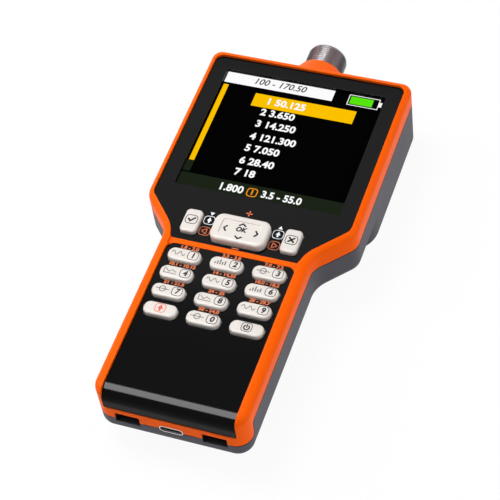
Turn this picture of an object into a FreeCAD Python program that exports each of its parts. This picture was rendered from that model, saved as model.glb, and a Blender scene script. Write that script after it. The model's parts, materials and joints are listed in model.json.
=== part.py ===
import FreeCAD, Part
import math
import os

# Handheld antenna analyzer: display head, narrow keypad grip, coaxial connector on the head's end.
# Frame: +Z out of the display face, +Y towards the coaxial connector, +X to the right of the display.
# The case lies on the flat back of its head at Z = 0, and the origin is under the middle of its box.
# All sizes are in millimetres.

# Display and upper panel, as seen from the front
display_width = 64.8
display_height = 60.0
display_border_side = 6.2
display_border_top = 6.1
display_to_pad = 16.95
pad_to_bar = 7.75
head_rim = 2.4
top_rim = 3.1
hip_rim = 2.34

# Keypad
column_pitch = 16.29
row_pitch = 8.27
key_length = 12.6
key_width = 5.55
key_corner = 2.5
bar_width = 2.3
bar_to_keys = 5.4
keys_to_end = 38.3
keypad_margin = 2.15
grip_rim = 3.75
side_key_width = 6.5
side_key_length = 10.6
side_key_corner = 1.8
side_key_x = 19.4
side_key_above_pad = 0.5
pad_length = 21.4
pad_width = 12.1
pad_corner = 3.2

# Case body
head_depth = 30.5
grip_thickness = 22.3
rim_proud = 1.0
bar_proud = 0.2
hip_above_pad = 9.95
hip_run = 13.5
top_corner = 4.2
hip_corner = 7.0
waist_corner = 12.0
end_corner = 6.0
front_edge_round = 3.2
back_edge_round = 3.7
bulge_edge_round = 2.2
bulge_corner = 12.0
wall = 2.2
end_wall = 3.0

# Seam between the two halves of the case, measured down from the panel face
seam_head_drop = 8.0
seam_grip_drop = 6.8
seam_end_drop = 13.8
seam_end_run = 6.9
seam_groove = 0.4
seam_groove_height = 0.5

# Panels and the ledges that carry them
panel_thickness = 1.5
panel_gap = 0.12
panel_top_corner = 3.0
panel_waist_corner = 14.0
panel_bar_corner = 1.4
lower_panel_corner = 3.0
ledge_thickness = 1.2
ledge_width = 0.8
bend_radius = 5.3
bend_skirt = 3.3
panel_inset_at_end = 0.3
window_gap = 0.05
window_corner = 0.55

# Keys and their moving fits
key_proud = 1.7
key_gap = 0.35
key_edge_round = 0.9
key_travel = 0.8
key_flange = 0.6
key_flange_thickness = 1.0
key_flange_drop = 0.4
key_stem_radius = 1.5
working_gap = 0.35
pad_proud = 2.8
pad_gap = 0.45
pad_edge_round = 1.2
pad_dish_length = 15.2
pad_dish_width = 6.9
pad_dish_depth = 0.4
pad_dish_corner = 1.2
pad_dish_round = 0.3
pad_skin = 1.6
pad_travel = 0.5
pad_pivot_drop = 3.2

# Gimbal, plunger and switch under the rocking pad
gimbal_pin = 0.5
gimbal_fit = 0.05
gimbal_half = 1.8
gimbal_half_height = 0.8
gimbal_ear_gap = 0.4
gimbal_ear = 1.0
gimbal_ear_half = 1.2
fork_drop = 2.6
fork_bridge = 1.0
plunger_radius = 1.8
plunger_bore_gap = 0.08
nav_switch_side = 10.0
nav_switch_corner = 1.0
nav_switch_floor = 0.8
plunger_foot_gap = 0.4

# Main board and what stands on it
usb_drop = 13.8
usb_width = 8.94
usb_height = 3.26
usb_length = 7.3
usb_wall = 0.3
usb_slot_gap = 0.2
usb_mouth_drop = 0.1
usb_tongue_width = 6.7
usb_tongue_thickness = 0.7
usb_tongue_drop = 0.9
usb_back = 1.2
board_thickness = 1.6
board_gap = 6.0
grip_board_gap = 5.3
board_corner = 3.0
board_end_corner = 1.0
board_to_slots = 0.6
board_tail_margin = 2.4
board_tail_gap = 0.3
board_hole_gap = 0.15
pillar_gap = 0.5
switch_width = 4.2
switch_height = 0.8
dome_radius = 1.4
dome_height = 0.4
mat_thickness = 1.6
mat_skirt = 1.2
mat_hole_gap = 0.4
mat_switch_gap = 0.15
mat_margin = 1.2
mat_end_inset = 1.0
chip_pitch = 4.0
processor_side = 10.0
memory_side = 7.0
source_side = 6.0
converter_side = 5.0
chip_height = 1.2
shield_width = 22.0
shield_length = 9.0
shield_height = 2.6
shield_sheet = 0.2
shield_to_board_end = 2.0
buzzer_radius = 4.5
buzzer_height = 3.2
buzzer_hole_radius = 0.8
buzzer_hole_depth = 0.8
buzzer_from_edge = 7.0
buzzer_above_board_end = 18.0

# Display module
module_border = 0.9
module_gap = 0.2
glass_thickness = 1.1
module_thickness = 3.0
carrier_wall = 2.0
carrier_top = 1.0
carrier_corner = 4.0
carrier_vent_width = 30.0
carrier_vent_length = 24.0
carrier_vent_corner = 3.0
ribbon_width = 16.0
ribbon_thickness = 0.2
ribbon_reach = 1.4
ribbon_bend = 1.2
ribbon_plug_width = 18.0
ribbon_plug_length = 2.2
ribbon_plug_height = 0.9
ribbon_plug_gap = 0.4

# Battery
battery_width = 50.0
battery_length = 44.0
battery_thickness = 10.6
battery_corner = 4.0
battery_edge_round = 1.5
battery_pad_thickness = 1.0
battery_pad_inset = 4.0
battery_to_head_end = 13.2
battery_to_bulge_end = 7.0
header_gap = 3.6
header_height = 3.4
header_width = 6.4
header_length = 4.4
lead_radius = 0.6
lead_bend = 1.4
lead_spacing = 2.6
lead_below_top = 2.6
cradle_gap = 0.3
cradle_height = 4.0
cradle_wall = 1.4
cradle_side_inset = 6.0
cradle_end_width = 24.0

# Coaxial connector with a 5/8-24 thread
thread_radius = 7.94
thread_pitch = 1.058
thread_depth = 0.62
connector_reach = 17.6
connector_drop = 13.1
boss_base_radius = 12.5
boss_tip_radius = 9.0
boss_length = 7.6
boss_tip_round = 0.7
boss_hole_gap = 0.1
boss_collar = 0.5
flange_side = 20.0
flange_thickness = 2.0
flange_screw_offset = 7.6
socket_radius = 4.1
socket_depth = 9.0
contact_radius = 1.5
contact_bore_radius = 0.85
contact_below_mouth = 5.4
contact_slot = 0.3
contact_slot_depth = 3.0
contact_bore_depth = 4.0
contact_behind_flange = 3.0
solder_cup_depth = 1.5
insulator_radius = 5.2
insulator_nose_step = 0.9
insulator_behind_flange = 1.5
thread_to_boss = 0.2
smooth_tip = 1.1
tip_step = 0.35
tip_chamfer = 0.3
strap_width = 1.6
strap_thickness = 0.3
strap_overlap = 0.7

# Strap slots in the bottom end
slot_width = 9.3
slot_height = 5.2
slot_depth = 5.2
slot_x = 16.3
slot_top_drop = 10.8
slot_wall = 1.3

# Screws
case_screw_radius = 1.25
case_screw_head_radius = 2.3
case_screw_head_height = 1.6
case_screw_grip = 4.5
case_screw_bite = 5.0
case_boss_radius = 2.9
case_pillar_radius = 3.6
case_screw_edge = 5.6
board_screw_radius = 1.0
board_screw_head_radius = 1.9
board_screw_head_height = 1.2
board_post_radius = 2.4
board_screw_bite = 4.0
flange_screw_radius = 1.1
flange_screw_bite = 2.6
flange_screw_head_step = 0.9
flange_screw_head_height = 1.2
screw_gap = 0.2
screw_end_gap = 0.5

# Case outline worked out from the panels and keys
head_half = display_width / 2 + display_border_side + head_rim
grip_half = column_pitch + key_length / 2 + keypad_margin + grip_rim
panel_half_head = head_half - head_rim
panel_half_grip = grip_half - grip_rim
key_rows = 4
face_length = (top_rim + display_border_top + display_height + display_to_pad + pad_to_bar + bar_width
               + bar_to_keys + (key_rows - 1) * row_pitch + keys_to_end)
y_top = (face_length - connector_reach) / 2
y_end = y_top - face_length
display_y = y_top - top_rim - display_border_top - display_height / 2
pad_y = display_y - display_height / 2 - display_to_pad
bar_top = pad_y - pad_to_bar
bar_low = bar_top - bar_width
first_row_y = bar_low - bar_to_keys
last_row_y = first_row_y - (key_rows - 1) * row_pitch
side_key_y = pad_y + side_key_above_pad
hip_top = pad_y + hip_above_pad
hip_low = hip_top - hip_run
hip_slope = hip_run / (head_half - grip_half)
battery_y = y_top - battery_to_head_end - battery_length / 2
battery_low_y = battery_y - battery_length / 2
bulge_low_y = battery_low_y - battery_to_bulge_end
header_y = battery_low_y - header_gap
board_head_half = head_half - wall - board_gap
board_grip_half = grip_half - wall - grip_board_gap
board_head_top = y_top - end_wall - flange_thickness - board_gap
board_grip_low = y_end + end_wall + slot_depth + slot_wall + board_to_slots
connector_tip = y_top + connector_reach
flange_back = y_top - end_wall - flange_thickness
usb_mouth = y_end + usb_mouth_drop

# Heights worked out from the back of the head
rim_z = head_depth
panel_z = rim_z - rim_proud
grip_back_z = rim_z - grip_thickness
ledge_z = panel_z - panel_thickness
cavity_top_z = ledge_z - ledge_thickness
seam_head_z = panel_z - seam_head_drop
seam_grip_z = panel_z - seam_grip_drop
seam_end_z = panel_z - seam_end_drop
axis_z = panel_z - connector_drop
usb_z = panel_z - usb_drop
board_low_z = usb_z + usb_height / 2
board_top_z = board_low_z + board_thickness
bend_y = y_end + panel_inset_at_end + bend_radius
bend_z = panel_z - bend_radius
seam_drop_y = y_end + seam_end_run
switch_top_z = board_top_z + switch_height + dome_height
key_flange_top_z = ledge_z - key_flange_drop
key_flange_low_z = key_flange_top_z - key_flange_thickness
key_stem_low_z = switch_top_z + key_travel + working_gap
mat_top_z = key_flange_low_z - key_travel - working_gap
pad_pivot_z = panel_z - pad_pivot_drop
battery_low_z = wall + battery_pad_thickness
module_top_z = ledge_z - module_gap
module_low_z = module_top_z - module_thickness
big = 4 * face_length


def point(x, y, z):
    return FreeCAD.Vector(x, y, z)


def flat(u, v):
    return point(u, v, 0)


def sideways(u, v):
    return point(0, u, v)


def rounded_face(corners, place=flat):
    """Face inside a polygon of (u, v, radius) corners, each corner turned into a tangent arc."""
    count = len(corners)
    starts, arcs = [], []
    for index in range(count):
        u, v, radius = corners[index]
        before = corners[index - 1]
        after = corners[(index + 1) % count]
        a = (before[0] - u, before[1] - v)
        b = (after[0] - u, after[1] - v)
        la, lb = math.hypot(*a), math.hypot(*b)
        a, b = (a[0] / la, a[1] / la), (b[0] / lb, b[1] / lb)
        if radius <= 0:
            starts.append(((u, v), (u, v)))
            arcs.append(None)
            continue
        half = math.acos(max(-1, min(1, a[0] * b[0] + a[1] * b[1]))) / 2
        reach = radius / math.tan(half)
        mid = (a[0] + b[0], a[1] + b[1])
        lm = math.hypot(*mid)
        out = radius / math.sin(half) - radius
        arcs.append((u + mid[0] / lm * out, v + mid[1] / lm * out))
        starts.append(((u + a[0] * reach, v + a[1] * reach), (u + b[0] * reach, v + b[1] * reach)))
    edges = []
    for index in range(count):
        begin, end = starts[index]
        following = starts[(index + 1) % count][0]
        if arcs[index]:
            edges.append(Part.Arc(place(*begin), place(*arcs[index]), place(*end)).toShape())
        if math.dist(end, following) > 1e-6:
            edges.append(Part.LineSegment(place(*end), place(*following)).toShape())
    return Part.Face(Part.Wire(edges))


def prism(corners, low, high):
    face = rounded_face(corners)
    face.translate(point(0, 0, low))
    return face.extrude(point(0, 0, high - low))


def side_prism(corners, half):
    """Solid whose side view in Y and Z is the polygon, from x = -half to x = half."""
    face = rounded_face(corners, sideways)
    face.translate(point(-half, 0, 0))
    return face.extrude(point(2 * half, 0, 0))


def block(x0, x1, y0, y1, z0, z1):
    return Part.makeBox(x1 - x0, y1 - y0, z1 - z0, point(x0, y0, z0))


def pill_corners(cx, cy, length, width, corner):
    a, b = length / 2, width / 2
    return [(cx + a, cy + b, corner), (cx + a, cy - b, corner),
            (cx - a, cy - b, corner), (cx - a, cy + b, corner)]


def pill(cx, cy, length, width, corner, low, high):
    return prism(pill_corners(cx, cy, length, width, corner), low, high)


def post(x, y, radius, low, high):
    return Part.makeCylinder(radius, high - low, point(x, y, low))


def bar_y(x, z, radius, y0, y1):
    return Part.makeCylinder(radius, y1 - y0, point(x, y0, z), point(0, 1, 0))


def fuse_all(shapes):
    result = shapes[0]
    for shape in shapes[1:]:
        result = result.fuse(shape)
    return result.removeSplitter()


def cut_all(shape, tools):
    for tool in tools:
        shape = shape.cut(tool)
    return shape


def mirrored(shape):
    return shape.mirror(point(0, 0, 0), point(1, 0, 0))


def both_sides(shape):
    return [shape, mirrored(shape)]


def edges_at(shape, z):
    """Edges that lie wholly in the level z."""
    found = []
    for edge in shape.Edges:
        box = edge.BoundBox
        if abs(box.ZMin - z) < 1e-4 and abs(box.ZMax - z) < 1e-4:
            found.append(edge)
    return found


def one_solid(shape):
    """The single solid of a shape that boolean steps may have wrapped in a compound."""
    solids = shape.Solids
    return solids[0] if len(solids) == 1 else Part.makeCompound(solids)


# Outlines
def hip_shift(inset):
    return inset * (math.sqrt(1 + hip_slope ** 2) - hip_slope)


def body_corners(inset=0.0):
    shift = hip_shift(inset)
    right = [
        (head_half - inset, y_top - inset, top_corner - min(inset, 0.8 * top_corner)),
        (head_half - inset, hip_top + shift, hip_corner - min(inset, 0.8 * hip_corner)),
        (grip_half - inset, hip_low + shift, waist_corner + inset),
        (grip_half - inset, y_end + inset, end_corner - min(inset, 0.8 * end_corner)),
    ]
    return right + [(-x, y, radius) for x, y, radius in reversed(right)]


def bulge_corners(inset=0.0):
    right = [
        (head_half - inset, y_top - inset, top_corner - min(inset, 0.8 * top_corner)),
        (head_half - inset, bulge_low_y + inset, bulge_corner - min(inset, 0.8 * bulge_corner)),
    ]
    return right + [(-x, y, radius) for x, y, radius in reversed(right)]


def upper_panel_plate(inset, low, high):
    """Display panel: full width at the head, drawn in along the hips, cut off at the divider bar."""
    def hip_line(x):
        return hip_top + hip_slope * (x - head_half) + (hip_rim + inset) * math.sqrt(1 + hip_slope ** 2)
    wide, narrow = panel_half_head - inset, panel_half_grip - inset
    right = [
        (wide, y_top - top_rim - inset, panel_top_corner - inset),
        (wide, hip_line(wide), hip_corner - hip_rim - inset),
        (narrow, hip_line(narrow), panel_waist_corner + inset),
        (narrow, bar_low - panel_waist_corner, 0),
    ]
    outline = right + [(-x, y, radius) for x, y, radius in reversed(right)]
    end_y = bar_top + inset
    plate = prism(outline, low, high).common(block(-big, big, end_y, big, low - 1, high + 1))
    corners = [edge for edge in plate.Edges
               if edge.BoundBox.YMax - end_y < 1e-4 and edge.BoundBox.ZLength > (high - low) / 2]
    return plate.makeFillet(panel_bar_corner - inset, corners)


def lower_panel_profile():
    """Side view of the keypad panel, which rolls over the bottom end."""
    skin_y = bend_y - bend_radius
    low = bend_z - bend_skirt
    return [
        (bar_low - panel_gap, panel_z, 0),
        (skin_y, panel_z, bend_radius),
        (skin_y, low, 0),
        (skin_y + panel_thickness, low, 0),
        (skin_y + panel_thickness, ledge_z, bend_radius - panel_thickness),
        (bar_low - panel_gap, ledge_z, 0),
    ]


def lower_panel_room():
    """What the case leaves free for the keypad panel: everything outside the ledge it lies on."""
    low = bend_z - bend_skirt - panel_gap
    inner_y = bend_y - bend_radius + panel_thickness
    ledge = [(bar_low + 1, ledge_z, 0), (inner_y, ledge_z, bend_radius - panel_thickness),
             (inner_y, low - 1, 0), (bar_low + 1, low - 1, 0)]
    corner = lower_panel_corner + panel_gap
    outline = [(panel_half_grip, bar_low, corner), (panel_half_grip, y_end - 1, 0),
               (-panel_half_grip, y_end - 1, 0), (-panel_half_grip, bar_low, corner)]
    return prism(outline, low, rim_z + 1).cut(side_prism(ledge, panel_half_grip + 1))


# Places that repeat
def key_places():
    """Name, x and y of the twelve keypad keys, row by row."""
    names = ["1", "2", "3", "4", "5", "6", "7", "8", "9", "function", "0", "power"]
    places = []
    for index, name in enumerate(names):
        row, column = divmod(index, 3)
        places.append((name, (column - 1) * column_pitch, first_row_y - row * row_pitch))
    return places


def side_key_places():
    return [("confirm", -side_key_x, side_key_y), ("cancel", side_key_x, side_key_y)]


def case_screw_places():
    """Right-hand x and y of each pair of case screws, with the seam and back levels there."""
    top = (head_half - 1.16 * case_screw_edge, y_top - 0.93 * case_screw_edge)
    hip = (head_half - 1.16 * case_screw_edge, hip_top + 0.2 * case_screw_edge)
    end = (grip_half - 0.77 * case_screw_edge, y_end + 2.25 * case_screw_edge)
    return [
        (top[0], top[1], seam_head_z, 0.0),
        (hip[0], hip[1], seam_head_z, grip_back_z),
        (end[0], end[1], seam_grip_z, grip_back_z),
    ]


def board_post_places():
    """x and y of the four posts that carry the main board."""
    head = (board_head_half - 1.6 * board_post_radius, board_head_top - 1.6 * board_post_radius)
    grip = (board_grip_half - 1.6 * board_post_radius, board_grip_low + 2.2 * board_post_radius)
    return [head, (-head[0], head[1]), grip, (-grip[0], grip[1])]


def flange_screw_places():
    step = flange_screw_offset
    return [(sx * step, axis_z + sz * step) for sx in (-1, 1) for sz in (-1, 1)]


# Case
def boss(inset=0.0):
    """Tapered boss that the coaxial connector comes out of, with a rounded tip."""
    tip = y_top + boss_length
    root = y_top - top_corner - 1
    slope = (boss_base_radius - boss_tip_radius) / boss_length
    base = boss_base_radius + slope * (y_top - root) - inset
    cone = Part.makeCone(base, boss_tip_radius - inset, tip - root - inset, point(0, root, axis_z),
                         point(0, 1, 0))
    rim = [edge for edge in cone.Edges
           if abs(edge.BoundBox.YMin - (tip - inset)) < 1e-4 and len(edge.Vertexes) == 1]
    cone = cone.makeFillet(boss_tip_round, rim)
    return cone.common(block(-big, big, y_top - end_wall, big, -big, big))


def outer_body():
    core = prism(body_corners(), grip_back_z, rim_z)
    core = core.makeFillet(front_edge_round, edges_at(core, rim_z))
    core = core.makeFillet(back_edge_round, edges_at(core, grip_back_z))
    bulge = prism(bulge_corners(), 0, grip_back_z + back_edge_round + 1)
    bulge = bulge.makeFillet(bulge_edge_round, edges_at(bulge, 0))
    return core.fuse(bulge).fuse(boss()).removeSplitter()


def above_seam():
    """Everything on the front side of the line where the two halves of the case meet."""
    corners = [
        (big, seam_head_z, 0),
        (hip_low + 4, seam_head_z, 3),
        (hip_low - 2, seam_grip_z, 3),
        (seam_drop_y, seam_grip_z, 2),
        (seam_drop_y, seam_end_z, 2),
        (-big, seam_end_z, 0),
        (-big, big, 0),
        (big, big, 0),
    ]
    collar_half = boss_base_radius + boss_collar
    collar = block(-collar_half, collar_half, flange_back, big, axis_z, panel_z)
    return side_prism(corners, big).fuse(collar)


def cavity():
    """Room inside both halves of the case."""
    core = prism(body_corners(wall), grip_back_z + wall, cavity_top_z)
    core = core.common(block(-big, big, y_end + end_wall, y_top - end_wall, -big, big))
    bulge = prism(bulge_corners(wall), wall, grip_back_z + wall + 1)
    bulge = bulge.common(block(-big, big, -big, y_top - end_wall, -big, big))
    under_bend = block(-big, big, -big, bend_y + 0.5, bend_z - bend_skirt - ledge_thickness, big)
    return core.fuse(bulge).cut(under_bend).removeSplitter()


def slot_block(grow):
    """Right-hand strap slot, or with grow the wall round it."""
    top = panel_z - slot_top_drop
    half = slot_width / 2 + grow
    return block(slot_x - half, slot_x + half, y_end - (0 if grow else 1), y_end + slot_depth + grow,
                 top - slot_height - grow, top + grow)


def usb_slot():
    grow = usb_slot_gap
    width, height = usb_width + 2 * grow, usb_height + 2 * grow
    face = rounded_face(pill_corners(0, 0, width, height, height / 2 - 0.05))
    face.rotate(point(0, 0, 0), point(1, 0, 0), 90)
    face.translate(point(0, y_end - 1, usb_z))
    return face.extrude(point(0, end_wall + 2, 0))


def connector_cuts():
    hole = bar_y(0, axis_z, thread_radius + boss_hole_gap, y_top - end_wall - 1, y_top + boss_length + 1)
    pilots = [bar_y(x, z, flange_screw_radius, y_top - end_wall - 1, y_top - end_wall + flange_screw_bite)
              for x, z in flange_screw_places()]
    return [hole] + pilots


def front_bezel():
    region = above_seam()
    shell = outer_body().common(region).cut(cavity())
    bosses = []
    for x, y, seam_z, _ in case_screw_places():
        bosses += both_sides(post(x, y, case_boss_radius, seam_z, cavity_top_z + 0.1))
    shell = fuse_all([shell] + [piece.common(outer_body()) for piece in bosses])
    ends = slot_block(slot_wall).common(region)
    shell = shell.fuse(ends).fuse(mirrored(ends))
    cuts = both_sides(slot_block(0)) + [usb_slot()] + connector_cuts()
    upper = upper_panel_plate(-panel_gap, ledge_z, rim_z + 1)
    over_bar = block(-panel_half_grip, panel_half_grip, bar_low - 1, bar_top + 1,
                     panel_z + bar_proud, rim_z + 1)
    cuts += [upper, lower_panel_room(), over_bar]
    module_half = display_width / 2 + module_border + module_gap
    module_reach = display_height / 2 + module_border + module_gap
    cuts.append(block(-module_half, module_half, display_y - module_reach, display_y + module_reach,
                      cavity_top_z - 1, ledge_z + 1))
    pad_half = side_key_x + side_key_width / 2 + key_flange + working_gap
    key_reach = side_key_length / 2 + key_flange + working_gap
    cuts.append(block(-pad_half, pad_half, bar_top + ledge_width, side_key_y + key_reach,
                      cavity_top_z - 1, ledge_z + 1))
    keypad_half = panel_half_grip - ledge_width
    keypad_reach = key_width / 2 + key_flange + working_gap
    cuts.append(block(-keypad_half, keypad_half, last_row_y - keypad_reach, first_row_y + keypad_reach,
                      cavity_top_z - 1, ledge_z + 1))
    for x, y, seam_z, _ in case_screw_places():
        cuts += both_sides(post(x, y, case_screw_radius, seam_z - 1, seam_z + case_screw_bite))
    return one_solid(cut_all(shell, cuts).removeSplitter())


def rear_shell():
    region = above_seam()
    lowered = region.copy()
    lowered.translate(point(0, seam_groove, -seam_groove_height))
    body = outer_body()
    narrow = prism(body_corners(seam_groove), seam_end_z - 2, panel_z).fuse(boss(seam_groove))
    shell = body.cut(lowered).fuse(narrow.cut(region).common(body))
    shell = shell.cut(cavity()).cut(region)
    added = []
    for x, y, seam_z, back_z in case_screw_places():
        added += both_sides(post(x, y, case_pillar_radius, back_z + 1, seam_z))
    for x, y in board_post_places():
        floor_z = 1 if y > bulge_low_y else grip_back_z + 1
        added.append(post(x, y, board_post_radius, floor_z, board_low_z))
    added += cradle_ribs()
    inside = body.cut(region)
    shell = fuse_all([shell] + [piece.common(inside) for piece in added])
    ends = slot_block(slot_wall).cut(region)
    shell = shell.fuse(ends).fuse(mirrored(ends))
    cuts = both_sides(slot_block(0)) + [usb_slot()] + connector_cuts()
    for x, y, seam_z, back_z in case_screw_places():
        shaft = post(x, y, case_screw_radius + screw_gap, back_z - 1, seam_z + 1)
        recess = post(x, y, case_screw_head_radius + screw_gap, back_z - 1, seam_z - case_screw_grip)
        cuts += both_sides(shaft.fuse(recess))
    for x, y in board_post_places():
        cuts.append(post(x, y, board_screw_radius, board_low_z - board_screw_bite, board_low_z + 1))
    return one_solid(cut_all(shell, cuts).removeSplitter())


def cradle_ribs():
    """Low walls on the floor of the head that keep the battery in place."""
    x0 = battery_width / 2 + cradle_gap
    y0, y1 = battery_low_y, battery_low_y + battery_length
    root, top = wall - 0.2, battery_low_z + cradle_height
    side = block(x0, x0 + cradle_wall, y0 + cradle_side_inset, y1 - cradle_side_inset, root, top)
    half = cradle_end_width / 2
    ends = [block(-half, half, y, y + cradle_wall, root, top)
            for y in (y0 - cradle_gap - cradle_wall, y1 + cradle_gap)]
    return both_sides(side) + ends


# Panels
def key_holes(places, length, width, corner):
    grow = 2 * key_gap
    return [pill(x, y, length + grow, width + grow, corner + key_gap, ledge_z - 1, panel_z + 1)
            for _, x, y in places]


def upper_panel():
    plate = upper_panel_plate(0, ledge_z, panel_z)
    window = pill(0, display_y, display_width + 2 * window_gap, display_height + 2 * window_gap,
                  window_corner + window_gap, ledge_z - 1, panel_z + 1)
    pad_hole = pill(0, pad_y, pad_length + 2 * pad_gap, pad_width + 2 * pad_gap, pad_corner + pad_gap,
                    ledge_z - 1, panel_z + 1)
    holes = key_holes(side_key_places(), side_key_width, side_key_length, side_key_corner)
    return one_solid(cut_all(plate, [window, pad_hole] + holes))


def display_window():
    return pill(0, display_y, display_width, display_height, window_corner, ledge_z, panel_z)


def lower_panel():
    plate = side_prism(lower_panel_profile(), panel_half_grip - panel_gap)
    trim = prism(pill_corners(0, (bar_low + y_end) / 2, 2 * (panel_half_grip - panel_gap),
                              bar_low - panel_gap - y_end, lower_panel_corner), -big, big)
    trim = trim.fuse(block(-big, big, y_end - 1, bend_y, -big, big))
    return one_solid(cut_all(plate.common(trim), key_holes(key_places(), key_length, key_width, key_corner)))


# Keys
def push_key(x, y, length, width, corner):
    """Domed key cap with a retaining flange under the panel and a stem down to its switch."""
    top = panel_z + key_proud
    cap = pill(x, y, length, width, corner, key_flange_top_z, top)
    cap = cap.makeFillet(key_edge_round, edges_at(cap, top))
    grow = 2 * key_flange
    flange = pill(x, y, length + grow, width + grow, corner + key_flange,
                  key_flange_low_z, key_flange_top_z)
    stem = post(x, y, key_stem_radius, key_stem_low_z, key_flange_low_z)
    return one_solid(fuse_all([cap, flange, stem]))


def nav_pad():
    """Large rocking pad: rounded rim, sunken field, hollow underside and two lugs on the Y pins."""
    top = panel_z + pad_proud
    low = ledge_z
    cap = pill(0, pad_y, pad_length, pad_width, pad_corner, low, top)
    cap = cap.makeFillet(pad_edge_round, edges_at(cap, top))
    dish_z = top - pad_dish_depth
    dish = pill(0, pad_y, pad_dish_length, pad_dish_width, pad_dish_corner, dish_z, top + 1)
    dish = dish.makeFillet(pad_dish_round, edges_at(dish, dish_z))
    hollow = pill(0, pad_y, pad_length - 2 * pad_skin, pad_width - 2 * pad_skin, pad_corner - pad_skin,
                  low - 1, dish_z - pad_skin)
    inner = gimbal_half + gimbal_ear_gap
    reach = inner + gimbal_ear
    hub = block(-reach, reach, pad_y - reach, pad_y + reach, low, dish_z - pad_skin / 2)
    solid = cap.cut(dish).cut(hollow).fuse(hub.common(cap))
    for side in (-1, 1):
        near, far = side * inner, side * (inner + gimbal_ear)
        lug = block(-gimbal_ear_half, gimbal_ear_half, pad_y + min(near, far), pad_y + max(near, far),
                    pad_pivot_z - gimbal_ear_half, low + 0.5)
        solid = solid.fuse(lug)
    pin_hole = bar_y(0, pad_pivot_z, gimbal_pin + gimbal_fit, pad_y - reach - 1, pad_y + reach + 1)
    return one_solid(solid.cut(pin_hole).removeSplitter())


def nav_gimbal():
    """Small cross of two pins that lets the pad rock both ways."""
    reach = gimbal_half + gimbal_ear_gap + gimbal_ear
    body = block(-gimbal_half, gimbal_half, pad_y - gimbal_half, pad_y + gimbal_half,
                 pad_pivot_z - gimbal_half_height, pad_pivot_z + gimbal_half_height)
    pin_x = Part.makeCylinder(gimbal_pin, 2 * reach, point(-reach, pad_y, pad_pivot_z), point(1, 0, 0))
    pin_y = bar_y(0, pad_pivot_z, gimbal_pin, pad_y - reach, pad_y + reach)
    return one_solid(fuse_all([body, pin_x, pin_y]))


def nav_plunger():
    """Stem of the five-way switch, with a fork for the gimbal's X pins."""
    inner = gimbal_half + gimbal_ear_gap
    reach = inner + gimbal_ear
    fork_low = pad_pivot_z - fork_drop
    ears = []
    for side in (-1, 1):
        near, far = side * inner, side * reach
        ears.append(block(min(near, far), max(near, far), pad_y - gimbal_ear_half, pad_y + gimbal_ear_half,
                          fork_low, pad_pivot_z + gimbal_pin + gimbal_pin))
    bridge = block(-reach, reach, pad_y - gimbal_ear_half, pad_y + gimbal_ear_half,
                   fork_low, fork_low + fork_bridge)
    foot = board_top_z + nav_switch_floor + plunger_foot_gap + pad_travel
    stem = post(0, pad_y, plunger_radius, foot, fork_low + fork_bridge / 2)
    pin_hole = Part.makeCylinder(gimbal_pin + gimbal_fit, 2 * reach + 2,
                                 point(-reach - 1, pad_y, pad_pivot_z), point(1, 0, 0))
    return one_solid(fuse_all(ears + [bridge, stem]).cut(pin_hole))


def nav_switch():
    """Five-way switch housing, soldered to the board, that guides the plunger."""
    top = pad_pivot_z - fork_drop - pad_travel - working_gap
    housing = pill(0, pad_y, nav_switch_side, nav_switch_side, nav_switch_corner, board_top_z, top)
    bore = post(0, pad_y, plunger_radius + plunger_bore_gap, board_top_z + nav_switch_floor, top + 1)
    return one_solid(housing.cut(bore))


def rubber_mat(places, length, width):
    """Silicone tray that stands on the board round a group of keys, with a hole for each stem."""
    xs = [x for _, x, _ in places]
    ys = [y for _, _, y in places]
    x0, x1 = min(xs) - length / 2, max(xs) + length / 2
    y0, y1 = min(ys) - width / 2 - mat_margin, max(ys) + width / 2 + mat_margin
    tray = block(x0, x1, y0, y1, board_top_z, mat_top_z)
    room = block(x0 + mat_skirt, x1 - mat_skirt, y0 + mat_skirt, y1 - mat_skirt, board_top_z - 1,
                 mat_top_z - mat_thickness)
    holes = [post(x, y, key_stem_radius + mat_hole_gap, board_top_z, mat_top_z + 1) for _, x, y in places]
    return one_solid(cut_all(tray, [room] + holes))


def side_mats():
    mat_width = switch_width + 2 * (mat_skirt + mat_switch_gap)
    return Part.makeCompound([rubber_mat([place], mat_width, side_key_length - 2 * mat_end_inset)
                              for place in side_key_places()])


def key_switches():
    """Low switch under every key: square body with a round dome."""
    half = switch_width / 2
    body_top = board_top_z + switch_height
    switches = []
    for _, x, y in key_places() + side_key_places():
        body = block(x - half, x + half, y - half, y + half, board_top_z, body_top)
        switches.append(one_solid(body.fuse(post(x, y, dome_radius, body_top, body_top + dome_height))))
    return Part.makeCompound(switches)


# Board and electronics
def main_board():
    """One board from the display to the charging socket, with a tongue between the strap slots."""
    tongue = usb_width / 2 + board_tail_margin
    tail_y = y_end + end_wall + board_tail_gap
    hip_y = hip_top + 0.4 * board_gap
    right = [
        (board_head_half, board_head_top, board_end_corner),
        (board_head_half, hip_y, board_corner),
        (board_grip_half, hip_y - hip_run, board_corner),
        (board_grip_half, board_grip_low, board_end_corner),
        (tongue, board_grip_low, board_end_corner),
        (tongue, tail_y, board_end_corner / 2),
    ]
    outline = right + [(-x, y, radius) for x, y, radius in reversed(right)]
    board = prism(outline, board_low_z, board_top_z)
    cuts = [post(x, y, board_screw_radius + board_hole_gap, board_low_z - 1, board_top_z + 1)
            for x, y in board_post_places()]
    for x, y, _, _ in case_screw_places():
        cuts += both_sides(post(x, y, case_pillar_radius + pillar_gap, board_low_z - 1, board_top_z + 1))
    return one_solid(cut_all(board, cuts))


def shield_can():
    """Tinned lid over the measuring bridge, on the underside of the board behind the connector."""
    half, sheet = shield_width / 2, shield_sheet
    y1 = board_head_top - shield_to_board_end
    y0 = y1 - shield_length
    low = board_low_z - shield_height
    lid = block(-half, half, y0, y1, low, board_low_z)
    room = block(sheet - half, half - sheet, y0 + sheet, y1 - sheet, low + sheet, board_low_z + 1)
    return one_solid(lid.cut(room))


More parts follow.
